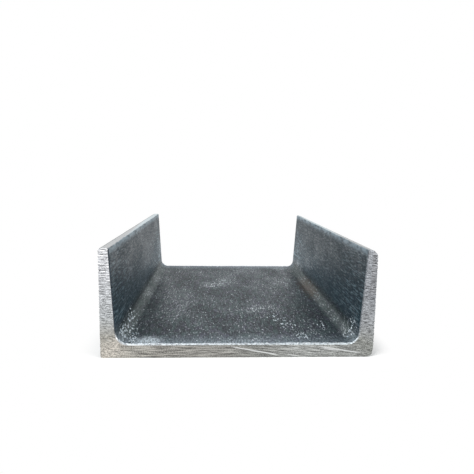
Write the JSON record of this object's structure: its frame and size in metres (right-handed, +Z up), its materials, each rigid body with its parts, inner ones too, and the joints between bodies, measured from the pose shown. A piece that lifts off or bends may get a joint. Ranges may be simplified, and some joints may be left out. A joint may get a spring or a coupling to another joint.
{
  "type": "stainless steel channel",
  "caption": "Short sawn length of rolled stainless steel channel lying on its web, with tapered flanges, rounded roots and bare mill-finish faces.",
  "frame": {"origin": "on the back of the web, at the middle of its depth and of the length", "axes": "+X across the web towards the right flange, +Y along the length, +Z up the flanges"},
  "size_m": [0.14, 0.2, 0.0563],
  "materials": {
    "rolled_steel": "hot rolled and pickled, dull blue-grey mill finish, with bright saw marks on the cut ends"
  },
  "bodies": {
    "root": {"channel": "rolled_steel"}
  },
  "joints": []
}
